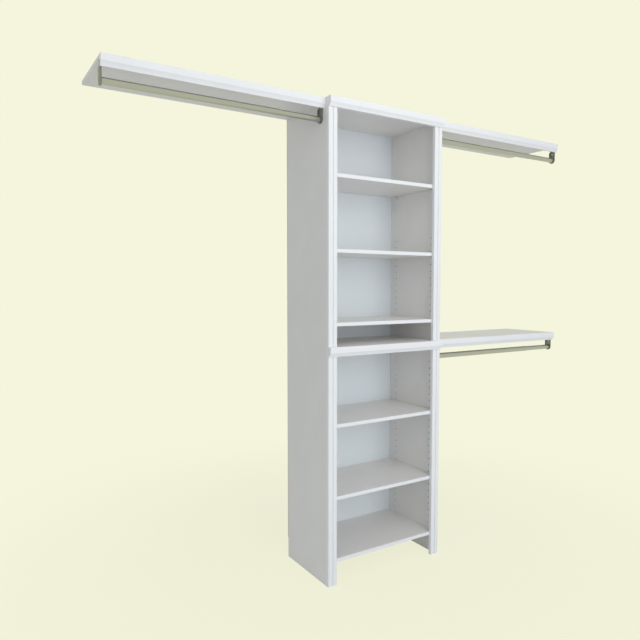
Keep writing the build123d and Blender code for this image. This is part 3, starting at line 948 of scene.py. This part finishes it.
class CLOSET_OT_screws(Operator):
    """Cross-recessed screws of the rod brackets and the wall angles"""

    bl_idname = "closet.screws"
    bl_label = "Screws"

    def execute(self, context):
        kinds = (
            ("bracket_screws", "countersunk", self.bracket_places(), "nickel_plated_casting"),
            ("angle_screws", "pan", self.angle_places(), "bright_zinc_plate"),
        )
        for node, head, places, material in kinds:
            profile = [(height * MM, radius * MM) for height, radius in SCREWS[head]]
            screw = recessed_head(head, profile, SCREW_RECESS)
            piece = place_fittings(node + "_turned", screw, places, material)
            dress(piece, CARCASS, "zinc_plated_steel", node)
        return {"FINISHED"}

    def bracket_places(self):
        """Two screws into the tower at each tower end, and one up through each bracket's tab."""
        places = []
        for name in SIDE_SHELVES:
            side = -1 if name.startswith("left") else 1
            low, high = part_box(f"{name}_shelf")
            tube_low, tube_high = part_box(f"{name}_rod_outer_tube")
            rod_level = (tube_low.z + tube_high.z) / 2
            plate_x = side * (OUTER_FACE_X + BRACKET_PLATE)
            for rise in (0, BRACKET_PITCH):
                places.append(((plate_x, ROD_Y, rod_level + rise), (side, 0, 0), (0, 0, 1)))
            for x in (low.x + TAB_SCREW_INSET, high.x - TAB_SCREW_INSET):
                places.append(((x, TAB_SCREW_Y, low.z - TAB_THICKNESS), (0, 0, -1), (1, 0, 0)))
        return places

    def angle_places(self):
        """One screw down through each wall angle into the top panel."""
        points = [(side * ANGLE_SCREW_X, ANGLE_SCREW_Y, ANGLE_SCREW_Z) for side in (-1, 1)]
        return [(point, (0, 0, 1), (1, 0, 0)) for point in points]


class CLOSET_OT_hidden_fittings(Operator):
    """Finishes of the hidden fittings, which stay as the solids have them"""

    bl_idname = "closet.hidden_fittings"
    bl_label = "Hidden fittings"

    def execute(self, context):
        paint(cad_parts["cam_bolts"], "bright_zinc_plate")
        for node in ("unit_dowels", "shelf_dowels"):
            paint(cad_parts[node], "turned_beech")
        return {"FINISHED"}


# Stage

FLOOR_BOUNCE = "#E6E6E4"
FLOOR_RADIUS, FLOOR_SIDES = 14, 96
# The floor shows this share of the plain background up to the first distance from its middle; the
# share grows to all of it at the second.
PLAIN_SHARE, FADE_START, FADE_END = 0.85, 0.5, 2.6
WORLD_TINT = "#F1F8FF"
WORLD_LIGHT = 0.5
# Each lamp: its name, place, aim, width, height, power and tint
LAMPS = (
    ("ceiling_spot", (0.1, -1.05, 2.55), (0.1, 0.0, 1.3), 0.07, 0.07, 1.2, "#FFF4E8"),
    ("high_softbox", (-0.6, -2.6, 3.4), (0.0, 0.0, 1.2), 1.6, 1.6, 12.5, "#FFFCF4"),
    ("front_softbox", (0.0, -4.0, 1.6), (0.0, 0.0, 1.2), 3.0, 3.0, 55.0, "#FEFDFF"),
    ("left_softbox", (-3.4, -1.2, 1.7), (-0.6, 0.0, 1.2), 1.6, 1.6, 4.0, "#FFF6EC"),
)
# The camera's lens and frame in millimetres, its place, and its turn to the right and up in degrees
LENS, LENS_FRAME = 33.10, 36
CAMERA_PLACE = (-1.6683, -2.2567, 1.3052)
CAMERA_YAW, CAMERA_PITCH = 32.07, -3.25


def shown_plainly(tree):
    """1 for rays from the camera or from a shiny surface, 0 for those that gather soft light."""
    rays = add(tree, "ShaderNodeLightPath")
    shown = add(tree, "ShaderNodeMath", {
        0: rays.outputs["Is Camera Ray"], 1: rays.outputs["Is Glossy Ray"],
    }, operation="MAXIMUM")
    return shown.outputs[0]


def floor_material():
    """Matt pale floor: it bounces neutral light, shows the background's colour and keeps the shadow."""
    material, tree, at, finishes = new_material("matt_pale_floor")
    background = (*finishes.background, 1)
    bounce = add(tree, "ShaderNodeBsdfDiffuse", {"Color": (*linear(FLOOR_BOUNCE), 1)})
    lit = add(tree, "ShaderNodeBsdfDiffuse", {"Color": background})
    plain = add(tree, "ShaderNodeEmission", {"Color": background, "Strength": 1.0})
    distance = add(tree, "ShaderNodeVectorMath", {0: at}, operation="LENGTH")
    fade = add(tree, "ShaderNodeMapRange", {
        "Value": distance.outputs["Value"],
        "From Min": FADE_START,
        "From Max": FADE_END,
        "To Min": PLAIN_SHARE,
        "To Max": 1.0,
    }, interpolation_type="SMOOTHSTEP")
    shown = add(tree, "ShaderNodeMixShader", {0: fade.outputs[0], 1: lit.outputs[0], 2: plain.outputs[0]})
    mixed = add(tree, "ShaderNodeMixShader", {
        0: shown_plainly(tree), 1: bounce.outputs[0], 2: shown.outputs[0],
    })
    add(tree, "ShaderNodeOutputMaterial", {"Surface": mixed.outputs[0]})
    return material


def studio_world():
    """A soft cold fill light all round, which the camera sees as the plain background."""
    world = bpy.data.worlds.new("studio")
    world.use_nodes = True
    tree = world.node_tree
    tree.nodes.clear()
    background = (*bpy.context.scene.closet_finishes.background, 1)
    fill = add(tree, "ShaderNodeBackground", {"Color": (*linear(WORLD_TINT), 1), "Strength": WORLD_LIGHT})
    plain = add(tree, "ShaderNodeBackground", {"Color": background, "Strength": 1.0})
    mixed = add(tree, "ShaderNodeMixShader", {
        0: shown_plainly(tree), 1: fill.outputs[0], 2: plain.outputs[0],
    })
    add(tree, "ShaderNodeOutputWorld", {"Surface": mixed.outputs[0]})
    return world


def area_lamp(name, place, aim, width, height, power, tint):
    lamp = bpy.data.lights.new(name, "AREA")
    lamp.shape = "RECTANGLE"
    lamp.size = width
    lamp.size_y = height
    lamp.energy = power
    lamp.color = linear(tint)
    holder = new_piece(name, lamp)
    holder.location = place
    holder.rotation_euler = (Vector(aim) - Vector(place)).to_track_quat("-Z", "Y").to_euler()
    # A lamp that the metal reflects would draw a white streak along each rod.
    holder.visible_camera = holder.visible_glossy = False


class CLOSET_OT_stage(Operator):
    """Pale floor, plain studio light and the camera"""

    bl_idname = "closet.stage"
    bl_label = "Stage, lights and camera"

    def execute(self, context):
        scene = context.scene
        shape = bmesh.new()
        bmesh.ops.create_circle(shape, cap_ends=True, radius=FLOOR_RADIUS, segments=FLOOR_SIDES)
        floor = new_piece("floor", to_mesh("floor", shape))
        floor.data.materials.append(floor_material())
        scene.world = studio_world()
        for lamp in LAMPS:
            area_lamp(*lamp)

        camera = bpy.data.cameras.new("camera")
        camera.sensor_width = LENS_FRAME
        camera.lens = LENS
        holder = new_piece("camera", camera)
        holder.location = CAMERA_PLACE
        yaw, pitch = radians(CAMERA_YAW), radians(CAMERA_PITCH)
        forward = Vector((sin(yaw) * cos(pitch), cos(yaw) * cos(pitch), sin(pitch)))
        holder.rotation_euler = forward.to_track_quat("-Z", "Y").to_euler()
        scene.camera = holder
        scene.view_settings.view_transform = "Standard"
        return {"FINISHED"}


# The add-on

OPERATORS = (
    CLOSET_OT_side_panels,
    CLOSET_OT_boards,
    CLOSET_OT_backs,
    CLOSET_OT_stiles,
    CLOSET_OT_mouldings,
    CLOSET_OT_hang_rods,
    CLOSET_OT_rod_brackets,
    CLOSET_OT_supports,
    CLOSET_OT_wall_angles,
    CLOSET_OT_cam_locks,
    CLOSET_OT_screws,
    CLOSET_OT_hidden_fittings,
    CLOSET_OT_stage,
)


class CLOSET_PT_panel(Panel):
    """Lists the closet's sizes, finishes and pieces"""

    bl_idname = "CLOSET_PT_panel"
    bl_label = "Closet system"
    bl_space_type = "VIEW_3D"
    bl_region_type = "UI"
    bl_category = "Closet"

    def draw(self, context):
        layout = self.layout
        for group in (context.scene.closet_sizes, context.scene.closet_finishes):
            column = layout.column()
            for key in group.__annotations__:
                column.prop(group, key)
        for operator in OPERATORS:
            layout.operator(operator.bl_idname)


CLASSES = (ClosetSizes, ClosetFinishes, *OPERATORS, CLOSET_PT_panel)


def register():
    for item in CLASSES:
        bpy.utils.register_class(item)
    bpy.types.Scene.closet_sizes = PointerProperty(type=ClosetSizes)
    bpy.types.Scene.closet_finishes = PointerProperty(type=ClosetFinishes)


def unregister():
    del bpy.types.Scene.closet_finishes
    del bpy.types.Scene.closet_sizes
    for item in reversed(CLASSES):
        bpy.utils.unregister_class(item)


def main():
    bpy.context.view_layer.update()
    register()
    for operator in OPERATORS:
        module, name = operator.bl_idname.split(".")
        getattr(getattr(bpy.ops, module), name)()


if __name__ == "__main__":
    main()
